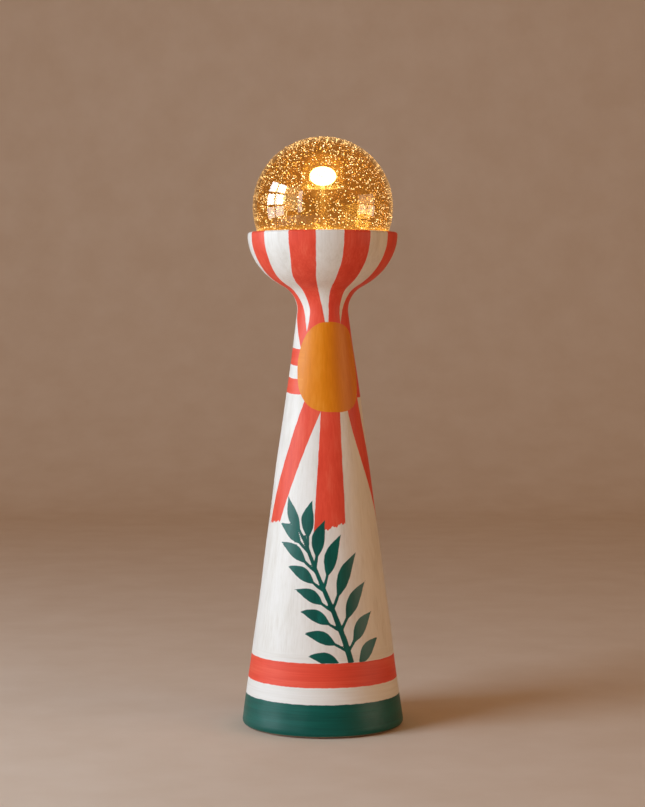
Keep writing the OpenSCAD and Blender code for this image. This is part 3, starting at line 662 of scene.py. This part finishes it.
# %% [markdown]
# ## Bubbles in the glass
# Seeded glass is stirred or given soda so that it froths. The bubbles are drawn out along the swirl of the blowing
# into short dashes, each under a millimetre and a half long. Here every bubble is a twenty-sided bead, stretched
# along a smooth swirling field on the sphere. Thousands of them are placed by one seeded generator as whole arrays.

# %% Placing the bubbles
dice = np.random.default_rng(41)
BUBBLES = 4200
golden = (1 + math.sqrt(5)) / 2
bead_points = np.array([(-1, golden, 0), (1, golden, 0), (-1, -golden, 0), (1, -golden, 0), (0, -1, golden),
                        (0, 1, golden), (0, -1, -golden), (0, 1, -golden), (golden, 0, -1), (golden, 0, 1),
                        (-golden, 0, -1), (-golden, 0, 1)]) / math.hypot(1, golden)
bead_faces = np.array([(0, 11, 5), (0, 5, 1), (0, 1, 7), (0, 7, 10), (0, 10, 11), (1, 5, 9), (5, 11, 4), (11, 10, 2),
                       (10, 7, 6), (7, 1, 8), (3, 9, 4), (3, 4, 2), (3, 2, 6), (3, 6, 8), (3, 8, 9), (4, 9, 5),
                       (2, 4, 11), (6, 2, 10), (8, 6, 7), (9, 8, 1)])
lowest = -math.cos(math.asin(MOUTH_R / GLOBE_R)) + 0.02
upness = lowest + (1 - lowest) * dice.random(BUBBLES) ** 1.12
spin = dice.uniform(0, 2 * np.pi, BUBBLES)
flat_r = np.sqrt(1 - upness ** 2)
outward = np.stack([flat_r * np.cos(spin), flat_r * np.sin(spin), upness], -1)
depth = dice.uniform(GLOBE_R - 2.2, GLOBE_R - 0.8, BUBBLES)
swirl = (3.0 * np.sin(outward @ [4.1, -3.3, 5.2]) + 2.6 * np.sin(outward @ [-6.3, 5.1, 3.7] + 1.0)
         + 1.4 * np.sin(outward @ [9.7, 8.2, -7.9] + 2.0))
east = np.stack([-np.sin(spin), np.cos(spin), 0 * spin], -1)
north = np.cross(outward, east)
along = np.cos(swirl)[:, None] * east + np.sin(swirl)[:, None] * north
beside = np.cross(outward, along)
thick = dice.uniform(0.24, 0.38, BUBBLES) * (1.25 - 0.40 * smoothstep(-0.4, 0.4, upness))
stretch = 1.0 + dice.gamma(1.6, 0.40, BUBBLES) * (0.10 + 0.90 * smoothstep(-0.2, 0.5, upness))
axes = np.stack([along * (thick * stretch)[:, None], beside * thick[:, None], outward * thick[:, None] * 0.8], 1)
beads = np.einsum("pk,nkc->npc", bead_points, axes) + (outward * depth[:, None])[:, None, :] + [0, 0, GLOBE_Z]
bubble_faces = (bead_faces[None] + 12 * np.arange(BUBBLES)[:, None, None]).reshape(-1, 3)
bubbles = mesh_piece("glass_bubbles", beads.reshape(-1, 3) * MM, bubble_faces)
print("bubbles:", BUBBLES, "mean length", round(float(np.mean(2 * thick * stretch)), 2), "mm")

# %% [markdown]
# A bubble is a bright point only because the light inside strikes it. Here that light is painted on: each bubble
# glows by itself, more the nearer it is to the LED, and it differs from one bubble to the next as its angle does.

# %% Bubble material
LIGHT_Z = float(np.mean([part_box("led_dome")[0][2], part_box("led_dome")[1][2]])) / MM
centres = outward * depth[:, None] + [0, 0, GLOBE_Z]
reach = np.linalg.norm(centres - [0, 0, LIGHT_Z], axis=1)
painted_bubble_glow = (42 / reach) ** 1.3 * dice.lognormal(0.0, 0.6, BUBBLES)
set_numbers(bubbles, "painted_bubble_glow", np.repeat(painted_bubble_glow, 12))
bubble_with_painted_glow, tree, shader = new_material("air_bubbles_with_painted_glow")
shader.inputs["Base Color"].default_value = paint("#F3D9A0")
shader.inputs["Roughness"].default_value = 0.25
shader.inputs["Emission Color"].default_value = paint("#FFF4DA")
# Painted glow: the bubbles emit light of their own in place of being lit by the LED.
tree.links.new(maths(tree, "MULTIPLY", number("painted_bubble_glow"), 2.2), shader.inputs["Emission Strength"])
bubble_with_painted_glow.cycles.emission_sampling = "NONE"
bubbles.data.materials.append(bubble_with_painted_glow)
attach(bubbles, "globe")

# %% [markdown]
# ## The light
# The LED sits in a soft lens-shaped dome of clear silicone, so bright that it clips to white. Over it stands a thin
# clear cover, lightly etched, whose surface carries a soft painted glow near the LED.

# %% LED dome
dome_low, dome_high = [np.array(c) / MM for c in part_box("led_dome")]
dome_a, dome_b = dome_high[0] - 0.01, (dome_high[2] - dome_low[2]) / 2 - 0.2
t = np.radians(np.linspace(-90, 90, 40))
dome_outline = np.stack([dome_a * np.cos(t), LIGHT_Z + dome_b * np.sin(t)], -1)
dome_outline[[0, -1], 0] = 0
dome = turned_solid("led_lens", dome_outline, 64)
lens, tree, shader = new_material("lit_clear_silicone_lens")
core = add(tree, "ShaderNodeTexCoord").outputs["Object"]
from_middle = add(tree, "ShaderNodeVectorMath", {0: core}, operation="DISTANCE", i_1=(0, 0, LIGHT_Z * MM)).outputs[1]
shine = ramp(tree, maths(tree, "DIVIDE", from_middle, dome_a * MM), (0.66, paint("#FFF4D2")), (1.0, paint("#FFE0A0")))
tree.links.new(shine, shader.inputs["Emission Color"])
shader.inputs["Emission Strength"].default_value = 26.0
shader.inputs["Base Color"].default_value = paint("#FFF0C8")
dome.data.materials.append(lens)
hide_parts("led_dome")
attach(dome, "lamp")

# %% [markdown]
# ## Finishes for the CAD parts
# The remaining parts keep their CAD shape. Each real finish is one small recipe: a colour that drifts, a roughness
# that varies, and the marks its making left, at their true size. A recipe is a row in a table, and one function
# turns a row into a material.

# %% Finish recipes
def finish_material(name, dark, light, rough, metallic, grain_mm, stretch, marks_mm, rough_spread=0.1, **sockets):
    """A material whose colour runs between two hexes with a noise grain, and whose marks are that grain's bumps."""
    material, tree, shader = new_material(name)
    grain = noise(tree, grain_mm, stretch=stretch, detail=5.0)
    tree.links.new(ramp(tree, grain, (0.3, paint(dark)), (0.7, paint(light))), shader.inputs["Base Color"])
    tree.links.new(ramp(tree, grain, (0.3, rough - rough_spread / 2), (0.7, rough + rough_spread / 2)),
                   shader.inputs["Roughness"])
    shader.inputs["Metallic"].default_value = metallic
    tree.links.new(bump(tree, grain, marks_mm, 0.6), shader.inputs["Normal"])
    for socket, value in sockets.items():
        shader.inputs[socket.replace("_", " ")].default_value = value
    return material


FINISHES = [
    # name, dark, light, roughness, metallic, grain mm, stretch, marks mm, nodes
    ("spun_brass", "#A87B35", "#C79A4E", 0.30, 1.0, 0.5, (6, 6, 0.6), 0.010, ["gallery"]),
    ("turned_brass_bezel", "#B08440", "#CDA45C", 0.26, 1.0, 0.35, (1, 1, 1), 0.008, ["switch_barrel", "usb_barrel"]),
    ("polished_brass_button", "#B98E48", "#D6B06A", 0.20, 1.0, 0.6, (1, 1, 1), 0.005, ["power_button"]),
    ("bright_brass_spacer", "#B8923F", "#D2AE5E", 0.24, 1.0, 0.5, (1, 1, 1), 0.005, ["board_standoffs"]),
    ("zinc_plated_steel", "#9EA2A6", "#BFC3C6", 0.34, 1.0, 0.8, (1, 1, 1), 0.012,
     ["gallery_nut", "stem_tube", "base_washer", "base_nut", "switch_nut", "usb_nut", "led_board_screws",
      "holder_screws"]),
    ("nickel_plated_shell", "#B4B4B0", "#D2D2CE", 0.22, 1.0, 0.6, (1, 1, 1), 0.004, ["usb_socket", "cell_contacts"]),
    ("moulded_black_silicone", "#161616", "#242424", 0.62, 0.0, 0.5, (1, 1, 1), 0.015,
     ["switch_gasket", "usb_gasket", "stem_bush"]),
    ("moulded_black_nylon", "#141414", "#1F1F20", 0.50, 0.0, 0.35, (1, 1, 1), 0.020,
     ["battery_holder", "switch_core"]),
    ("green_solder_mask", "#0B3A22", "#14502F", 0.30, 0.0, 1.2, (1, 1, 1), 0.010, ["driver_board"]),
    ("moulded_component_epoxy", "#202022", "#2E2E30", 0.45, 0.0, 0.4, (1, 1, 1), 0.010, ["driver_parts"]),
    ("shrink_wrapped_cell", "#1B6B5C", "#23806E", 0.26, 0.0, 6.0, (1, 1, 3), 0.030,
     ["battery_left", "battery_right"]),
    ("satin_black_enamel", "#111111", "#1B1B1C", 0.42, 0.0, 0.5, (1, 1, 1), 0.020, ["base_plate"]),
    ("red_silicone_sheath", "#8E1A14", "#A6251C", 0.42, 0.0, 0.8, (1, 1, 1), 0.010, ["switch_lead", "battery_lead"]),
    ("black_silicone_sheath", "#121212", "#1E1E1E", 0.45, 0.0, 0.8, (1, 1, 1), 0.010, ["charge_lead"]),
]
nodes = frame["nodes"]


def dress(node, material):
    """Gives a CAD node's object one material."""
    slots = nodes[node].data.materials
    slots.clear()
    slots.append(material)


dressed = {"clay_body", "clay_cup", "glass_globe", "globe_neck", "led_dome"}
for name, dark, light, rough, metallic, grain, stretch_by, marks, wearers in FINISHES:
    material = finish_material(name, dark, light, rough, metallic, grain, stretch_by, marks)
    for node in wearers:
        dress(node, material)
    dressed.update(wearers)
print("finishes:", len(FINISHES))

# %% [markdown]
# Cork is pressed granules a millimetre or two across, and felt is a mat of short fibres. Both are cell patterns with
# fibres or dark joints between, and felt also scatters light at a grazing angle, which is its sheen.

# %% Cork and felt
cork, tree, shader = new_material("pressed_granule_cork")
place = add(tree, "ShaderNodeTexCoord").outputs["Object"]
granules = add(tree, "ShaderNodeTexVoronoi", {"Vector": place}, i_Scale=1 / (1.6 * MM))
joints = add(tree, "ShaderNodeTexVoronoi", {"Vector": place}, feature="DISTANCE_TO_EDGE", i_Scale=1 / (1.6 * MM))
shade = mix(tree, 0.5, granules.outputs["Color"], noise(tree, 0.4, detail=4.0))
cork_colour = ramp(tree, shade, (0.2, paint("#9A6D42")), (0.8, paint("#C99B69")))
gaps = ramp(tree, joints.outputs["Distance"], (0.0, 0.35), (0.09, 1.0))
tree.links.new(mix(tree, 1.0, cork_colour, gaps, "MULTIPLY"), shader.inputs["Base Color"])
shader.inputs["Roughness"].default_value = 0.85
tree.links.new(bump(tree, gaps, 0.15, 0.7), shader.inputs["Normal"])
dress("cork_washer", cork)

felt, tree, shader = new_material("pressed_wool_felt")
fibres = noise(tree, 0.35, stretch=(1, 1, 1), detail=8.0, roughness=0.75)
tufts = noise(tree, 2.5, detail=3.0)
mat = mix(tree, 0.4, fibres, tufts)
tree.links.new(ramp(tree, mat, (0.3, paint("#12382E")), (0.7, paint("#1F5243"))), shader.inputs["Base Color"])
shader.inputs["Roughness"].default_value = 0.95
shader.inputs["Sheen Weight"].default_value = 0.4
shader.inputs["Sheen Roughness"].default_value = 0.5
tree.links.new(bump(tree, mat, 0.30, 0.8), shader.inputs["Normal"])
dress("felt_ring", felt)

# %% [markdown]
# The ring under the glass is translucent silicone, and the LED's cover is thin clear plastic etched on its inside,
# so it passes most light straight. A faint painted glow, stronger where the LED is near, stands in for the light its
# etching catches.

# %% Silicone ring and etched cover
ring_material, tree, shader = new_material("translucent_silicone_ring")
cloud = noise(tree, 1.5, detail=3.0)
tree.links.new(ramp(tree, cloud, (0.3, paint("#C9C2B4")), (0.7, paint("#DAD4C8"))), shader.inputs["Base Color"])
shader.inputs["Roughness"].default_value = 0.45
shader.inputs["Subsurface Weight"].default_value = 0.3
shader.inputs["Subsurface Radius"].default_value = (0.002, 0.0015, 0.001)
tree.links.new(bump(tree, cloud, 0.02, 0.5), shader.inputs["Normal"])
dress("globe_gasket", ring_material)

cover, tree, shader = new_material("etched_clear_cover_with_painted_glow")
place = add(tree, "ShaderNodeTexCoord").outputs["Object"]
away = add(tree, "ShaderNodeVectorMath", {0: place}, operation="DISTANCE", i_1=(0, 0, LIGHT_Z * MM)).outputs[1]
# Painted glow: the cover emits light of its own, more of it nearer the LED, mixed in with the etched haze.
etch_haze_and_painted_glow = ramp(tree, maths(tree, "DIVIDE", away, 18 * MM), (0.70, 0.030), (1.0, 0.012))
etch_haze_and_painted_glow = mix(tree, 0.25, etch_haze_and_painted_glow, noise(tree, 0.6, detail=4.0), "MULTIPLY")
clear = add(tree, "ShaderNodeBsdfTransparent", i_Color=paint("#FFFBF2"))
shader.inputs["Base Color"].default_value = paint("#FFF3D8")
shader.inputs["Roughness"].default_value = 0.35
shader.inputs["Emission Color"].default_value = paint("#FFD890")
shader.inputs["Emission Strength"].default_value = 0.9
both = add(tree, "ShaderNodeMixShader", {0: etch_haze_and_painted_glow, 1: clear.outputs[0],
                                         2: shader.outputs[0]})
tree.links.new(both.outputs[0], tree.nodes["Material Output"].inputs["Surface"])
cover.cycles.emission_sampling = "NONE"
dress("frosted_cover", cover)
dressed.update(("cork_washer", "felt_ring", "globe_gasket", "frosted_cover"))
print("CAD nodes without a finish:", sorted(set(nodes) - dressed))

# %% [markdown]
# The post is a clear acrylic tube, so thin-walled and polished that it all but vanishes inside the globe, and the
# white board on it is a thin laminate, so some of the LED's light comes through it.

# %% Clear post
post, tree, shader = new_material("polished_clear_acrylic")
shader.inputs["Base Color"].default_value = paint("#F6F1E2")
shader.inputs["Alpha"].default_value = 0.04
tree.links.new(ramp(tree, noise(tree, 2.0, detail=3.0), (0.3, 0.06), (0.7, 0.14)), shader.inputs["Roughness"])
dress("led_post", post)
dressed.update(("led_post", "led_lead", "led_board"))
see_through = (("clear_pvc_lead", "led_lead", 0.15), ("translucent_white_laminate", "led_board", 0.30))
for name, node, alpha in see_through:
    dress(node, finish_material(name, "#E9E4D6", "#F4F0E4", 0.35, 0.0, 1.0, (1, 1, 1), 0.004, Alpha=alpha))

# %% [markdown]
# ## Floor, backdrop and lights
# A plain pale floor runs up into a plain pale wall through a wide curve. A large soft lamp on the left, barred like
# a window, models the body and leaves a window's reflection in the glass. A broad warm fill from the right keeps the
# shaded side readable, and a low pale world lights the rest.

# %% Studio
DEPTH, WIDTH, SWEEP = 2.2, 5.0, 0.7
profile = np.concatenate([[[-2.0, 0.0]], [[DEPTH - SWEEP, 0.0]],
                          np.stack([DEPTH - SWEEP + SWEEP * np.sin(np.linspace(0, np.pi / 2, 24)),
                                    SWEEP - SWEEP * np.cos(np.linspace(0, np.pi / 2, 24))], -1), [[DEPTH, 3.2]]])
backdrop_points = np.concatenate([np.column_stack([np.full(len(profile), side * WIDTH / 2), profile])
                                  for side in (-1, 1)])
step = np.arange(len(profile) - 1)
backdrop_faces = np.stack([step, step + len(profile), step + len(profile) + 1, step + 1], -1)
backdrop = mesh_piece("backdrop", backdrop_points, backdrop_faces)
backdrop_paint, tree, shader = new_material("matt_backdrop_paper")
tree.links.new(ramp(tree, noise(tree, 60.0, detail=3.0), (0.3, paint("#E2D0BC")), (0.7, paint("#E8D8C6"))),
               shader.inputs["Base Color"])
shader.inputs["Roughness"].default_value = 0.9
backdrop.data.materials.append(backdrop_paint)

# %% Lamps
def soft_lamp(name, watts, size, place, aim, colour):
    """A rectangular area lamp of size (width, height) in metres at place, facing aim."""
    data = bpy.data.lights.new(name, "AREA")
    data.shape, data.size, data.size_y = "RECTANGLE", *size
    data.energy, data.color = watts, colour
    lamp = bpy.data.objects.new(name, data)
    lamp.location = place
    lamp.rotation_euler = (Vector(aim) - Vector(place)).to_track_quat("-Z", "Y").to_euler()
    scene.collection.objects.link(lamp)
    return lamp


def round_the_lamp(degrees, distance, height):
    """The point at an angle from the front towards +X, and a height, both in metres."""
    turn = math.radians(degrees)
    return Vector((distance * math.sin(turn), -distance * math.cos(turn), height))


key = soft_lamp("cool_key", 20.5, (0.8, 0.9), round_the_lamp(-57, 1.4, 0.62), (0, 0, 0.22), (0.68, 0.84, 1.0))
fill = soft_lamp("warm_fill", 2.6, (0.9, 0.9), round_the_lamp(62, 1.5, 0.55), (0, 0, 0.22), (1.0, 0.60, 0.32))
for lamp in (key, fill):
    lamp.visible_glossy = False

WINDOW = Vector((-1.29, -0.14, 0.58))
facing = Vector((1.29, 0.14, 0.0)).normalized()
side = Vector((0, 0, 1)).cross(facing)
PANE_W, PANE_H, BAR = 0.39, 0.29, 0.06
panes = []
for name, column, row_watts in (("far", 0.5, (2.2, 5.6, 5.6)), ("near", -0.5, (2.8, 6.8, 6.8))):
    for row, watts in enumerate(row_watts):
        place = WINDOW + side * column * (PANE_W + BAR) + Vector((0, 0, (row - 1) * (PANE_H + BAR)))
        panes.append(soft_lamp(f"pane_{name}_{row}", watts, (PANE_W, PANE_H), place, place + facing,
                               (0.86, 0.93, 1.0)))
place = round_the_lamp(-36.9, 1.35, 0.53)
panes.append(soft_lamp("narrow_pane", 2.2, (0.16, 0.80), place, (0, 0, place.z), (0.92, 0.95, 1.0)))
for row, watts in enumerate((2.6, 1.0)):
    for column in (-0.5, 0.5):
        place = round_the_lamp(76 + 17 * column, 1.5, 0.26 + 0.36 * row)
        panes.append(soft_lamp(f"warm_pane_{row}_{round(column + 0.5)}", watts, (0.40, 0.32), place,
                               (0, 0, place.z), (1.0, 0.80, 0.60)))
for lamp in panes:
    lamp.visible_diffuse = False

world = bpy.data.worlds.new("studio_world")
scene.world = world
world.use_nodes = True
world.node_tree.nodes["Background"].inputs["Color"].default_value = paint("#EBB47F")
world.node_tree.nodes["Background"].inputs["Strength"].default_value = 0.30
scene.view_settings.view_transform = "Standard"
